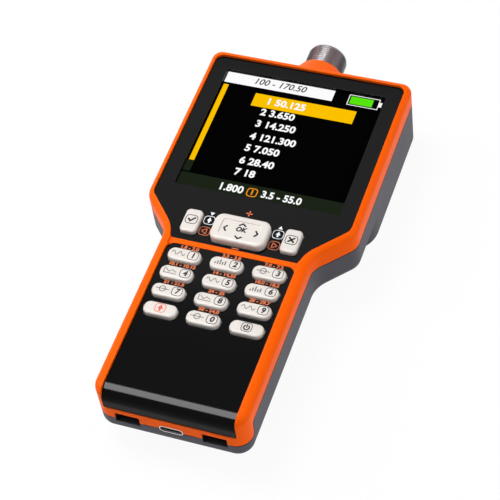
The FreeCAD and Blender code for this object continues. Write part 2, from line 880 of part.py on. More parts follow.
def board_chips():
    """Processor, memory, signal source and converter on the board's upper face in the head."""
    chips = []
    for column, row, side in ((-3.5, -1, processor_side), (1, -0.5, memory_side), (4, 0.5, memory_side),
                              (-1, -4, converter_side), (3, -3.5, source_side)):
        x, y = column * chip_pitch, display_y + row * chip_pitch
        chips.append(block(x - side / 2, x + side / 2, y - side / 2, y + side / 2,
                           board_top_z, board_top_z + chip_height))
    return Part.makeCompound(chips)


def buzzer():
    x, y = board_grip_half - buzzer_from_edge, board_grip_low + buzzer_above_board_end
    top = board_top_z + buzzer_height
    body = post(x, y, buzzer_radius, board_top_z, top)
    return one_solid(body.cut(post(x, y, buzzer_hole_radius, top - buzzer_hole_depth, top + 1)))


def display_glass():
    half, reach = display_width / 2 + module_border, display_height / 2 + module_border
    return block(-half, half, display_y - reach, display_y + reach,
                 module_top_z - glass_thickness, module_top_z)


def display_backlight():
    half, reach = display_width / 2 + module_border, display_height / 2 + module_border
    return pill(0, display_y, 2 * half, 2 * reach, module_border, module_low_z,
                module_top_z - glass_thickness)


def display_carrier():
    """Moulded frame that holds the display module up from the board."""
    half, reach = display_width / 2 + module_border, display_height / 2 + module_border
    frame = pill(0, display_y, 2 * half, 2 * reach, carrier_corner, board_top_z, module_low_z)
    inner_half, inner_reach = half - carrier_wall, reach - carrier_wall
    room = block(-inner_half, inner_half, display_y - inner_reach, display_y + inner_reach,
                 board_top_z - 1, module_low_z - carrier_top)
    vent = pill(0, display_y, carrier_vent_width, carrier_vent_length, carrier_vent_corner,
                board_top_z, module_low_z + 1)
    clear = []
    for x, y in board_post_places()[:2]:
        clear.append(post(x, y, board_screw_head_radius + pillar_gap, board_top_z - 1,
                          board_top_z + board_screw_head_height + 1))
    return one_solid(cut_all(frame, [room, vent] + clear))


def display_ribbon():
    """Flat ribbon that folds from the display module down to the board below the display."""
    y0 = display_y - display_height / 2 - module_border
    top = module_top_z - module_thickness / 2
    low = board_top_z + ribbon_plug_height
    outer, sheet = y0 - ribbon_reach, ribbon_thickness
    down = side_prism([(outer, top, ribbon_bend), (outer, low, 0), (outer + sheet, low, 0),
                       (outer + sheet, top - sheet, ribbon_bend - sheet), (y0, top - sheet, 0), (y0, top, 0)],
                      ribbon_width / 2)
    half, plug_end = ribbon_plug_width / 2, y0 - ribbon_plug_gap
    plug = block(-half, half, plug_end - ribbon_plug_length, plug_end, board_top_z, low)
    return one_solid(fuse_all([down, plug]))


def battery_pack():
    top = battery_low_z + battery_thickness
    pack = pill(0, battery_y, battery_width, battery_length, battery_corner, battery_low_z, top)
    edges = edges_at(pack, top) + edges_at(pack, battery_low_z)
    return one_solid(pack.makeFillet(battery_edge_round, edges))


def battery_pad():
    half = battery_width / 2 - battery_pad_inset
    reach = battery_length / 2 - battery_pad_inset
    return block(-half, half, battery_y - reach, battery_y + reach, wall, battery_low_z)


def battery_plug():
    """Two-way header on the underside of the board beside the battery."""
    half, reach = header_width / 2, header_length / 2
    return block(-half, half, header_y - reach, header_y + reach, board_low_z - header_height, board_low_z)


def battery_leads():
    """Two insulated wires from the end of the battery up to the header."""
    lead_z = battery_low_z + battery_thickness - lead_below_top
    near = lead_bend * (1 - math.sqrt(0.5))
    wires = []
    for x in (-lead_spacing / 2, lead_spacing / 2):
        start = point(x, battery_low_y, lead_z)
        before = point(x, header_y + lead_bend, lead_z)
        middle = point(x, header_y + near, lead_z + near)
        after = point(x, header_y, lead_z + lead_bend)
        finish = point(x, header_y, board_low_z - header_height)
        path = Part.Wire([Part.LineSegment(start, before).toShape(),
                          Part.Arc(before, middle, after).toShape(),
                          Part.LineSegment(after, finish).toShape()])
        ring = Part.Wire([Part.Circle(start, point(0, 1, 0), lead_radius).toShape()])
        wires.append(path.makePipeShell([ring], True, False))
    return Part.makeCompound([wire.Solids[0] for wire in wires])


# Charging socket
def usb_profile(width, height, y0, y1):
    face = rounded_face(pill_corners(0, 0, width, height, height / 2 - 0.05))
    face.rotate(point(0, 0, 0), point(1, 0, 0), 90)
    face.translate(point(0, y0, usb_z))
    return face.extrude(point(0, y1 - y0, 0))


def usb_shell():
    outside = usb_profile(usb_width, usb_height, usb_mouth, usb_mouth + usb_length)
    inside = usb_profile(usb_width - 2 * usb_wall, usb_height - 2 * usb_wall, usb_mouth - 1,
                         usb_mouth + usb_length - 1)
    return one_solid(outside.cut(inside))


def usb_tongue():
    back = usb_mouth + usb_length - 1
    half, reach = usb_tongue_width / 2, usb_tongue_thickness / 2
    return one_solid(fuse_all([
        block(-half, half, usb_mouth + usb_tongue_drop, back, usb_z - reach, usb_z + reach),
        usb_profile(usb_width - 2 * usb_wall, usb_height - 2 * usb_wall, back - usb_back, back),
    ]))


# Coaxial connector
def connector_shell():
    """Threaded barrel with a square flange inside the case and an open socket at the tip."""
    tip = connector_tip
    wall_y = y_top - end_wall
    thread_start = y_top + boss_length + thread_to_boss
    outline = [(0, flange_back), (thread_radius, flange_back), (thread_radius, thread_start)]
    turns = int((tip - smooth_tip - thread_start) / thread_pitch)
    flat_run = thread_pitch / 8
    slope_run = (thread_pitch - 2 * flat_run) / 2
    y = thread_start
    for _ in range(turns):
        outline += [(thread_radius - thread_depth, y + slope_run),
                    (thread_radius - thread_depth, y + slope_run + flat_run),
                    (thread_radius, y + 2 * slope_run + flat_run),
                    (thread_radius, y + thread_pitch)]
        y += thread_pitch
    tip_radius = thread_radius - tip_step
    outline += [(tip_radius, y + tip_step), (tip_radius, tip - tip_chamfer), (tip_radius - tip_chamfer, tip),
                (0, tip)]
    points = [point(r, y, 0) for r, y in outline]
    face = Part.Face(Part.makePolygon(points + [points[0]]))
    barrel = face.revolve(point(0, 0, 0), point(0, 1, 0), 360)
    barrel.translate(point(0, 0, axis_z))
    half = flange_side / 2
    flange = block(-half, half, flange_back, wall_y, axis_z - half, axis_z + half)
    cuts = [bar_y(0, axis_z, socket_radius, tip - socket_depth, tip + 1),
            bar_y(0, axis_z, insulator_radius, flange_back - 1, tip - socket_depth - 2)]
    cuts += [bar_y(x, z, flange_screw_radius + boss_hole_gap, flange_back - 1, wall_y + 1)
             for x, z in flange_screw_places()]
    cuts.append(bar_y(0, axis_z, socket_radius - insulator_nose_step, tip - socket_depth - 3,
                      tip - socket_depth + 1))
    return one_solid(cut_all(barrel.fuse(flange), cuts))


def connector_insulator():
    front = connector_tip - socket_depth
    back = flange_back - insulator_behind_flange
    plug = bar_y(0, axis_z, insulator_radius, back, front - 2)
    nose = bar_y(0, axis_z, socket_radius - insulator_nose_step, front - 2, front)
    hole = bar_y(0, axis_z, contact_radius, back - 1, connector_tip)
    return one_solid(plug.fuse(nose).cut(hole).removeSplitter())


def connector_contact():
    """Centre contact: slotted socket in front, solder cup behind."""
    front = connector_tip - contact_below_mouth
    back = flange_back - contact_behind_flange
    pin = bar_y(0, axis_z, contact_radius, back, front)
    cup = bar_y(0, axis_z, contact_bore_radius, back - 1, back + solder_cup_depth)
    bore = bar_y(0, axis_z, contact_bore_radius, front - contact_bore_depth, front + 1)
    thin, reach, root = contact_slot / 2, contact_radius + 0.5, front - contact_slot_depth
    slot_a = block(-thin, thin, root, front + 1, axis_z - reach, axis_z + reach)
    slot_b = block(-reach, reach, root, front + 1, axis_z - thin, axis_z + thin)
    return one_solid(cut_all(pin, [cup, bore, slot_a, slot_b]))


def connector_strap():
    """Short strip that carries the signal from the solder cup to the board."""
    half = strap_width / 2
    return block(-half, half, board_head_top - strap_overlap, flange_back - contact_behind_flange,
                 board_low_z - strap_thickness, board_low_z)


def screw_y(x, z, y_head, bite):
    """Pan-head screw pointing along +Y, its head on the near side of y_head."""
    shank = bar_y(x, z, flange_screw_radius, y_head, y_head + bite)
    head_radius = flange_screw_radius + flange_screw_head_step
    head = bar_y(x, z, head_radius, y_head - flange_screw_head_height, y_head)
    arm, thin = 0.62 * head_radius, 0.14 * head_radius
    low, high = y_head - flange_screw_head_height - 1, y_head - flange_screw_head_height / 2
    cross_a = block(x - thin, x + thin, low, high, z - arm, z + arm)
    cross_b = block(x - arm, x + arm, low, high, z - thin, z + thin)
    return one_solid(shank.fuse(head).cut(cross_a).cut(cross_b))


def connector_screws():
    return Part.makeCompound([screw_y(x, z, flange_back, flange_thickness + flange_screw_bite)
                              for x, z in flange_screw_places()])


# Case and board screws
def screw_z(x, y, head_z, bite, radius, head_radius, head_height, up):
    """Cross-recess screw on a vertical axis; with up it points to +Z, else to -Z."""
    sign = 1 if up else -1
    low, high = sorted((head_z, head_z + sign * bite))
    shank = post(x, y, radius, low, high)
    low, high = sorted((head_z, head_z - sign * head_height))
    head = post(x, y, head_radius, low, high)
    outer = head_z - sign * head_height
    low, high = sorted((outer - sign, outer + sign * 0.55 * head_height))
    arm, thin = 0.62 * head_radius, 0.14 * head_radius
    cross = block(x - arm, x + arm, y - thin, y + thin, low, high)
    cross = cross.fuse(block(x - thin, x + thin, y - arm, y + arm, low, high))
    return one_solid(shank.fuse(head).cut(cross))


def case_screws():
    screws = []
    for x, y, seam_z, _ in case_screw_places():
        for side in (1, -1):
            screws.append(screw_z(side * x, y, seam_z - case_screw_grip,
                                  case_screw_grip + case_screw_bite - screw_end_gap, case_screw_radius,
                                  case_screw_head_radius, case_screw_head_height, True))
    return Part.makeCompound(screws)


def board_screws():
    return Part.makeCompound([
        screw_z(x, y, board_top_z, board_thickness + board_screw_bite - screw_end_gap, board_screw_radius,
                board_screw_head_radius, board_screw_head_height, False)
        for x, y in board_post_places()])


def all_nodes():
    nodes = {
        "front_bezel": front_bezel(),
        "rear_shell": rear_shell(),
        "upper_panel": upper_panel(),
        "display_window": display_window(),
        "lower_panel": lower_panel(),
        "display_glass": display_glass(),
        "display_backlight": display_backlight(),
        "display_carrier": display_carrier(),
        "display_ribbon": display_ribbon(),
        "nav_pad": nav_pad(),
        "nav_gimbal": nav_gimbal(),
        "nav_plunger": nav_plunger(),
        "nav_switch": nav_switch(),
        "keypad_mat": rubber_mat(key_places(), key_length - 2 * mat_end_inset, key_width),
        "side_key_mats": side_mats(),
        "key_switches": key_switches(),
        "main_board": main_board(),
        "board_chips": board_chips(),
        "shield_can": shield_can(),
        "buzzer": buzzer(),
        "battery_pack": battery_pack(),
        "battery_pad": battery_pad(),
        "battery_plug": battery_plug(),
        "battery_leads": battery_leads(),
        "usb_shell": usb_shell(),
        "usb_tongue": usb_tongue(),
        "connector_shell": connector_shell(),
        "connector_insulator": connector_insulator(),
        "connector_contact": connector_contact(),
        "connector_strap": connector_strap(),
        "connector_screws": connector_screws(),
        "case_screws": case_screws(),
        "board_screws": board_screws(),
    }
    for name, x, y in key_places():
        nodes["key_" + name] = push_key(x, y, key_length, key_width, key_corner)
    for name, x, y in side_key_places():
        nodes["key_" + name] = push_key(x, y, side_key_width, side_key_length, side_key_corner)
    return nodes


os.makedirs("parts", exist_ok=True)
for node_name, node_shape in all_nodes().items():
    print(node_name, len(node_shape.Solids), "solids", round(node_shape.Volume, 1), "mm3",
          node_shape.isValid())
    node_shape.exportStep("parts/" + node_name + ".step")
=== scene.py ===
import json
import math
import bpy
import bmesh
from mathutils import Matrix, Vector


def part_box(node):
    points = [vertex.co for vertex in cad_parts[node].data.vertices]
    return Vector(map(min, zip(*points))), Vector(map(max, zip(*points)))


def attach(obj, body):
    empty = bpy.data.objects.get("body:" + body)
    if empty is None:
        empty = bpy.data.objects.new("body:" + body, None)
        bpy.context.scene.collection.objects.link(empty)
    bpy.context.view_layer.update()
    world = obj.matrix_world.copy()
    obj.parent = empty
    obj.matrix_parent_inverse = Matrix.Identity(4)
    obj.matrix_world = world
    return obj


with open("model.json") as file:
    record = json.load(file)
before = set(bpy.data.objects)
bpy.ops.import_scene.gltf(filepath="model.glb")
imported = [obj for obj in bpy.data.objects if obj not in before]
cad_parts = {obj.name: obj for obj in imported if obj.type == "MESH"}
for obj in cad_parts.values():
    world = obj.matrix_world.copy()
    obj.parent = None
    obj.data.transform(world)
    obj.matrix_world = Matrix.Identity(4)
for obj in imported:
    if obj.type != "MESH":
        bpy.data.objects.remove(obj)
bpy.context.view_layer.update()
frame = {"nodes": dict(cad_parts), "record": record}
mm = 0.001

windowLow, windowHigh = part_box("display_window")
displayY = (windowLow.y + windowHigh.y) / 2  # middle of the display, where the face is measured from
panelZ = windowHigh.z
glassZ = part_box("display_glass")[1].z
print("frame loaded, panel face at", round(panelZ / mm, 2), "mm")


# materials
def link(tree, fromSocket, toSocket):
    tree.links.new(fromSocket, toSocket)


def surfaceMaterial(name, look):
    # moulded or metal surface: grain in the bump, drift in colour and gloss, lighter edges that are partly
    # painted highlight and partly wear
    material = bpy.data.materials.new(name)
    material.use_nodes = True
    tree = material.node_tree
    nodes = tree.nodes
    shader = nodes["Principled BSDF"]
    colour = look["colour"]
    shader.inputs["Metallic"].default_value = look.get("metal", 0.0)
    shader.inputs["Specular IOR Level"].default_value = look.get("shine", 0.5)
    shader.inputs["Coat Weight"].default_value = look.get("coat", 0.0)
    shader.inputs["Coat Roughness"].default_value = look.get("coatRoughness", 0.1)
    place = nodes.new("ShaderNodeTexCoord")

    drift = nodes.new("ShaderNodeTexNoise")
    drift.inputs["Scale"].default_value = look.get("driftScale", 60.0)
    drift.inputs["Detail"].default_value = 5.0
    link(tree, place.outputs["Object"], drift.inputs["Vector"])
    tone = nodes.new("ShaderNodeMix")
    tone.data_type = "RGBA"
    change = look.get("drift", 0.06)
    tone.inputs["A"].default_value = [c * (1 - change) for c in colour] + [1.0]
    tone.inputs["B"].default_value = [min(1.0, c * (1 + change)) for c in colour] + [1.0]
    link(tree, drift.outputs["Fac"], tone.inputs["Factor"])

    gloss = nodes.new("ShaderNodeMapRange")
    rough = look["roughness"]
    spread = look.get("roughSpread", 0.06)
    gloss.inputs["To Min"].default_value = max(0.02, rough - spread)
    gloss.inputs["To Max"].default_value = min(1.0, rough + spread)
    link(tree, drift.outputs["Fac"], gloss.inputs["Value"])
    link(tree, gloss.outputs["Result"], shader.inputs["Roughness"])

    grain = nodes.new("ShaderNodeTexNoise")
    grain.inputs["Scale"].default_value = look.get("grainScale", 1500.0)
    grain.inputs["Detail"].default_value = 3.0
    link(tree, place.outputs["Object"], grain.inputs["Vector"])
    bump = nodes.new("ShaderNodeBump")
    bump.inputs["Strength"].default_value = look.get("grain", 0.15)
    bump.inputs["Distance"].default_value = look.get("grainDepth", 0.05) * mm
    link(tree, grain.outputs["Fac"], bump.inputs["Height"])
    link(tree, bump.outputs["Normal"], shader.inputs["Normal"])

    # rounded edges lighten towards edgeColour: a painted edge highlight together with wear
    if look.get("edge"):
        rounded = nodes.new("ShaderNodeBevel")
        rounded.samples = 4
        rounded.inputs["Radius"].default_value = look.get("edgeRadius", 0.25) * mm
        link(tree, rounded.outputs["Normal"], bump.inputs["Normal"])
        plain = nodes.new("ShaderNodeNewGeometry")
        dot = nodes.new("ShaderNodeVectorMath")
        dot.operation = "DOT_PRODUCT"
        link(tree, rounded.outputs["Normal"], dot.inputs[0])
        link(tree, plain.outputs["Normal"], dot.inputs[1])
        edgeHighlightAndWear = nodes.new("ShaderNodeMapRange")
        edgeHighlightAndWear.inputs["From Min"].default_value = 0.98
        edgeHighlightAndWear.inputs["From Max"].default_value = 0.80
        edgeHighlightAndWear.inputs["To Max"].default_value = look["edge"]
        link(tree, dot.outputs["Value"], edgeHighlightAndWear.inputs["Value"])
        highlitAndWornEdges = nodes.new("ShaderNodeMix")
        highlitAndWornEdges.data_type = "RGBA"
        highlitAndWornEdges.inputs["B"].default_value = list(look["edgeColour"]) + [1.0]
        link(tree, tone.outputs["Result"], highlitAndWornEdges.inputs["A"])
        link(tree, edgeHighlightAndWear.outputs["Result"], highlitAndWornEdges.inputs["Factor"])
        link(tree, highlitAndWornEdges.outputs["Result"], shader.inputs["Base Color"])
    else:
        link(tree, tone.outputs["Result"], shader.inputs["Base Color"])
    return material


def glowMaterial(name, colour, strength):
    # lit area of the display; a faint cell pattern breaks it up
    material = bpy.data.materials.new(name)
    material.use_nodes = True
    tree = material.node_tree
    nodes = tree.nodes
    shader = nodes["Principled BSDF"]
    shader.inputs["Base Color"].default_value = [c * 0.05 for c in colour] + [1.0]
    shader.inputs["Roughness"].default_value = 0.6
    shader.inputs["Specular IOR Level"].default_value = 0.0
    shader.inputs["Emission Strength"].default_value = strength
    place = nodes.new("ShaderNodeTexCoord")
    cells = nodes.new("ShaderNodeTexNoise")
    cells.inputs["Scale"].default_value = 900.0
    link(tree, place.outputs["Object"], cells.inputs["Vector"])
    tone = nodes.new("ShaderNodeMix")
    tone.data_type = "RGBA"
    tone.inputs["A"].default_value = [c * 0.94 for c in colour] + [1.0]
    tone.inputs["B"].default_value = list(colour) + [1.0]
    link(tree, cells.outputs["Fac"], tone.inputs["Factor"])
    link(tree, tone.outputs["Result"], shader.inputs["Emission Color"])
    return material


def windowMaterial():
    # clear cover over the display: it mirrors nothing, because the rare mirrored ray shows as a white speck
    material = bpy.data.materials.new("clearWindow")
    material.use_nodes = True
    tree = material.node_tree
    shader = tree.nodes["Principled BSDF"]
    shader.inputs["Base Color"].default_value = (0.0, 0.0, 0.0, 1.0)
    shader.inputs["Alpha"].default_value = 0.03
    shader.inputs["Specular IOR Level"].default_value = 0.0
    smear = tree.nodes.new("ShaderNodeTexNoise")
    smear.inputs["Scale"].default_value = 45.0
    place = tree.nodes.new("ShaderNodeTexCoord")
    link(tree, place.outputs["Object"], smear.inputs["Vector"])
    gloss = tree.nodes.new("ShaderNodeMapRange")
    gloss.inputs["To Min"].default_value = 0.05
    gloss.inputs["To Max"].default_value = 0.15
    link(tree, smear.outputs["Fac"], gloss.inputs["Value"])
    link(tree, gloss.outputs["Result"], shader.inputs["Roughness"])
    return material


# edge and edgeColour lighten the rounded edges: painted edge highlight together with wear
looks = {
    "orangeCase": {"colour": (0.93, 0.110, 0.001), "roughness": 0.36, "drift": 0.03, "grain": 0.2,
                   "grainScale": 2600.0, "grainDepth": 0.02, "edge": 0.6, "edgeColour": (0.95, 0.15, 0.008),
                   "edgeRadius": 0.3, "shine": 0.03},
    "greyCase": {"colour": (0.062, 0.060, 0.074), "roughness": 0.52, "drift": 0.08, "grain": 0.5,
                 "grainScale": 2200.0, "grainDepth": 0.04, "edge": 0.5, "edgeColour": (0.13, 0.13, 0.16),
                 "edgeRadius": 0.3, "shine": 0.2},
    "blackPanel": {"colour": (0.0016, 0.0016, 0.002), "roughness": 0.12, "drift": 0.15, "driftScale": 25.0,
                   "roughSpread": 0.03, "grain": 0.04, "grainDepth": 0.01, "shine": 0.065, "edge": 0.4,
                   "edgeColour": (0.03, 0.03, 0.03), "edgeRadius": 0.15},
    "ivoryKeys": {"colour": (0.665, 0.615, 0.570), "roughness": 0.40, "drift": 0.03, "grain": 0.2,
                  "grainScale": 2400.0, "grainDepth": 0.02, "edge": 0.5, "edgeColour": (0.76, 0.71, 0.65),
                  "edgeRadius": 0.2, "shine": 0.2},
    "nickel": {"colour": (0.22, 0.22, 0.23), "roughness": 0.30, "metal": 1.0, "drift": 0.15,
               "driftScale": 300.0, "grain": 0.2, "edge": 0.8, "edgeColour": (0.62, 0.61, 0.60),
               "edgeRadius": 0.10},
    "tinned": {"colour": (0.86, 0.85, 0.83), "roughness": 0.22, "metal": 1.0, "grain": 0.15},
    "steel": {"colour": (0.50, 0.50, 0.51), "roughness": 0.34, "metal": 1.0, "grain": 0.25},
    "gold": {"colour": (0.83, 0.58, 0.20), "roughness": 0.25, "metal": 1.0, "grain": 0.1},
    "darkMoulding": {"colour": (0.02, 0.02, 0.022), "roughness": 0.5, "grain": 0.3},
    "displayGlass": {"colour": (0.001, 0.001, 0.0012), "roughness": 0.2, "shine": 0.0, "grain": 0.02},
    "diffuser": {"colour": (0.7, 0.7, 0.7), "roughness": 0.5},
    "ribbonFilm": {"colour": (0.45, 0.22, 0.04), "roughness": 0.35},
    "silicone": {"colour": (0.10, 0.10, 0.105), "roughness": 0.65, "grain": 0.3},
    "boardMask": {"colour": (0.01, 0.10, 0.035), "roughness": 0.3, "coat": 0.3, "grainScale": 500.0},
    "chipEpoxy": {"colour": (0.015, 0.015, 0.016), "roughness": 0.55, "grain": 0.4},
    "batteryWrap": {"colour": (0.03, 0.10, 0.30), "roughness": 0.3, "grainScale": 200.0},
    "foam": {"colour": (0.03, 0.03, 0.03), "roughness": 0.9, "grain": 0.8, "grainScale": 1200.0},
    "ivoryPlug": {"colour": (0.72, 0.68, 0.56), "roughness": 0.5},
    "leadCover": {"colour": (0.40, 0.01, 0.01), "roughness": 0.45},
    "whiteInsulator": {"colour": (0.82, 0.82, 0.79), "roughness": 0.45, "grain": 0.1},
    "inkBlack": {"colour": (0.012, 0.012, 0.013), "roughness": 0.5, "shine": 0.2, "drift": 0.2},
    "inkGrey": {"colour": (0.13, 0.125, 0.12), "roughness": 0.5, "shine": 0.2, "drift": 0.1},
    "inkRed": {"colour": (0.72, 0.09, 0.03), "roughness": 0.5, "shine": 0.2},
    "inkWhite": {"colour": (0.82, 0.83, 0.85), "roughness": 0.5, "shine": 0.2, "drift": 0.04},
    # painted shade: black for the sheets set inside the strap slots
    "slotPaintedShade": {"colour": (0.006, 0.006, 0.007), "roughness": 0.7, "shine": 0.1, "grain": 0.3},
    "inkOrange": {"colour": (0.60, 0.13, 0.035), "roughness": 0.5, "shine": 0.2, "drift": 0.06},
}
materials = {name: surfaceMaterial(name, look) for name, look in looks.items()}
materials["clearWindow"] = windowMaterial()
glows = {
    "screenWhite": ((1.0, 1.0, 1.0), 1.0),
    "screenYellow": ((1.0, 0.55, 0.0), 1.0),
    "screenGreen": ((0.10, 0.80, 0.005), 1.0),
    "screenOlive": ((0.012, 0.018, 0.009), 1.0),
    "screenDark": ((0.02, 0.02, 0.02), 1.0),
    "screenAmber": ((1.0, 0.33, 0.01), 1.0),
}
for name, (colour, strength) in glows.items():
    materials[name] = glowMaterial(name, colour, strength)

nodeFinish = {
    "front_bezel": "orangeCase", "rear_shell": "greyCase", "upper_panel": "blackPanel",
    "lower_panel": "blackPanel", "display_window": "clearWindow", "display_glass": "displayGlass",
    "display_backlight": "diffuser", "display_carrier": "darkMoulding", "display_ribbon": "ribbonFilm",
    "nav_gimbal": "steel", "nav_plunger": "darkMoulding", "nav_switch": "darkMoulding",
    "keypad_mat": "silicone", "side_key_mats": "silicone", "key_switches": "steel",
    "main_board": "boardMask", "board_chips": "chipEpoxy", "shield_can": "tinned", "buzzer": "darkMoulding",
    "battery_pack": "batteryWrap", "battery_pad": "foam", "battery_plug": "ivoryPlug",
    "battery_leads": "leadCover", "usb_shell": "tinned", "usb_tongue": "darkMoulding",
    "connector_shell": "nickel", "connector_insulator": "whiteInsulator", "connector_contact": "gold",
    "connector_strap": "gold", "connector_screws": "steel", "case_screws": "steel", "board_screws": "steel",
}
for nodeName, node in frame["nodes"].items():
    node.data.materials.clear()
    node.data.materials.append(materials[nodeFinish.get(nodeName, "ivoryKeys")])
print("finishes on", len(frame["nodes"]), "nodes")


# flat prints and legends
def addPlate(bm, x, y, width, height, corner, low, thick, turn=0.0, hole=0.0):
    # rounded rectangle plate, or a ring of line width hole
    part = bmesh.new()
    square = bmesh.ops.create_circle(part, cap_ends=True, segments=4, radius=math.sqrt(0.5))["verts"]
    bmesh.ops.rotate(part, verts=square, cent=(0, 0, 0), matrix=Matrix.Rotation(math.radians(45), 3, "Z"))
    bmesh.ops.scale(part, verts=square, vec=(width, height, 1))
    if corner > 0:
        bmesh.ops.bevel(part, geom=square, offset=corner, offset_type="OFFSET", segments=6, profile=0.5,
                        affect="VERTICES", material=-1)
    if hole > 0:
        inner = list(part.faces)
        bmesh.ops.inset_individual(part, faces=inner, thickness=hole, depth=0)
        bmesh.ops.delete(part, geom=inner, context="FACES")
    raised = bmesh.ops.extrude_face_region(part, geom=list(part.faces), use_keep_orig=True)["geom"]
    lifted = [v for v in raised if isinstance(v, bmesh.types.BMVert)]
    bmesh.ops.translate(part, verts=lifted, vec=(0, 0, thick))
    bmesh.ops.rotate(part, verts=part.verts, cent=(0, 0, 0), matrix=Matrix.Rotation(turn, 3, "Z"))
    bmesh.ops.translate(part, verts=part.verts, vec=(x, y, low))
    merge(bm, part)


def addTriangle(bm, x, y, radius, low, thick, turn):
    part = bmesh.new()
    bmesh.ops.create_cone(part, cap_ends=True, segments=3, radius1=radius, radius2=radius, depth=thick)
    bmesh.ops.rotate(part, verts=part.verts, cent=(0, 0, 0), matrix=Matrix.Rotation(turn, 3, "Z"))
    bmesh.ops.translate(part, verts=part.verts, vec=(x, y, low + thick / 2))
    merge(bm, part)


def merge(bm, part):
    bmesh.ops.recalc_face_normals(part, faces=part.faces)
    mesh = bpy.data.meshes.new("part")
    part.to_mesh(mesh)
    part.free()
    bm.from_mesh(mesh)
    bpy.data.meshes.remove(mesh)


def addStroke(bm, points, width, low, thick):
    # a drawn line of the given width with round ends, through the points
    for (x0, y0), (x1, y1) in zip(points, points[1:]):
        length = math.hypot(x1 - x0, y1 - y0)
        addPlate(bm, (x0 + x1) / 2, (y0 + y1) / 2, length + width, width, width * 0.45, low, thick,
                 turn=math.atan2(y1 - y0, x1 - x0))


def addText(bm, text, x, y, size, low, thick, slant=0.0, weight=0.0, align="CENTER", stretch=1.0):
    curve = bpy.data.curves.new("text", "FONT")
    curve.body = text
    curve.size = size
    curve.shear = slant
    curve.offset = weight
    curve.align_x = align
    curve.align_y = "CENTER"
    curve.extrude = thick / 2
    curve.resolution_u = 3
    holder = bpy.data.objects.new("text", curve)
    bpy.context.scene.collection.objects.link(holder)
    bpy.context.view_layer.update()
    mesh = bpy.data.meshes.new_from_object(holder.evaluated_get(bpy.context.evaluated_depsgraph_get()))
    mesh.transform(Matrix.Translation((x, y, low + thick / 2)) @ Matrix.Diagonal((stretch, 1, 1, 1)))
    bm.from_mesh(mesh)
    bpy.data.objects.remove(holder)
    bpy.data.curves.remove(curve)
    bpy.data.meshes.remove(mesh)


def finishPiece(name, bm, body, finish):
    bmesh.ops.remove_doubles(bm, verts=bm.verts, dist=1e-7)
    mesh = bpy.data.meshes.new(name)
    bm.to_mesh(mesh)
    bm.free()
    piece = bpy.data.objects.new(name, mesh)
    bpy.context.scene.collection.objects.link(piece)
    mesh.materials.append(materials[finish])
    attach(piece, body)
    return piece


def facePoint(x, y):
    # millimetres from the middle of the display to metres in the frame
    return x * mm, y * mm + displayY


# display picture, in millimetres from its middle
screen = {
    "layer": 0.012, "lift": 0.02, "rowSize": 4.6, "rowWeight": 0.16, "rowStart": -12.9, "rowLift": 1.5,
    "rows": [(11.3, "2 3.650"), (5.3, "3 14.250"), (-1.3, "4 121.300"), (-7.3, "5 7.050"),
             (-13.7, "6 28.40"), (-19.5, "7 18")],
    # glow, left, right, lower and upper edge, level, corner, line width where the plate is hollow
    "plates": [
        ("White", -32.2, 12.1, 24.7, 30.9, 1, 0.0, 0.0),
        ("White", 18.1, 30.5, 24.4, 29.8, 1, 0.0, 0.45),
        ("White", 30.5, 31.6, 25.9, 28.3, 1, 0.0, 0.0),
        ("Green", 19.0, 28.0, 25.2, 29.0, 1, 0.0, 0.0),
        ("Yellow", -31.9, -29.8, -16.5, 23.6, 1, 0.0, 0.0),
        ("Yellow", -17.9, 23.2, 15.2, 21.8, 1, 0.0, 0.0),
        ("Olive", -32.6, 32.4, -28.9, -22.7, 1, 0.0, 0.0),
        ("Olive", -32.6, -29.6, -21.9, -16.7, 1, 0.0, 0.0),
        ("Amber", -5.1, -0.9, -28.3, -24.2, 2, 1.3, 0.38),
    ],
    "pieces": {"White": "screen_white_marks", "Yellow": "screen_yellow_bars", "Green": "screen_green_level",
               "Olive": "screen_help_band", "Dark": "screen_title_digits", "Amber": "screen_amber_mark"},
}


def screenLayer(level):
    return glassZ + (screen["lift"] + screen["layer"] * 2 * level) * mm


def screenPlate(bm, x0, x1, y0, y1, level, corner=0.0, hole=0.0):
    x, y = facePoint((x0 + x1) / 2, (y0 + y1) / 2)
    addPlate(bm, x, y, (x1 - x0) * mm, (y1 - y0) * mm, corner * mm, screenLayer(level), screen["layer"] * mm,
             hole=hole * mm)


def screenText(bm, text, x, y, size, level, weight=0.0, align="LEFT", slant=0.0, stretch=1.0):
    px, py = facePoint(x, y)
    addText(bm, text, px, py, size * mm, screenLayer(level), screen["layer"] * mm, slant=slant,
            weight=weight * mm, align=align, stretch=stretch)


def buildScreen():
    marks = {glow: bmesh.new() for glow in screen["pieces"]}
    for glow, left, right, lower, upper, level, corner, hole in screen["plates"]:
        screenPlate(marks[glow], left, right, lower, upper, level, corner=corner, hole=hole)
    screenText(marks["Dark"], "100 - 170.50", -10.0, 27.7, 4.3, 2, weight=0.05, align="CENTER", slant=0.2,
               stretch=0.98)
    screenText(marks["White"], "1 50.125", -12.5, 18.6, screen["rowSize"], 2, weight=screen["rowWeight"])
    for baseline, words in screen["rows"]:
        screenText(marks["White"], words, screen["rowStart"], baseline + screen["rowLift"], screen["rowSize"],
                   1, weight=screen["rowWeight"])
    screenText(marks["White"], "1.800", -16.4, -26.2, 4.7, 2, weight=0.15, stretch=0.95)
    screenText(marks["White"], "3.5 - 55.0", 0.6, -26.2, 4.5, 2, weight=0.15, stretch=0.92)
    screenText(marks["Amber"], "1", -3.0, -26.2, 3.2, 2, weight=0.12, align="CENTER")
    for glow, pieceName in screen["pieces"].items():
        finishPiece(pieceName, marks[glow], "case", "screen" + glow)


buildScreen()
print("display picture done")

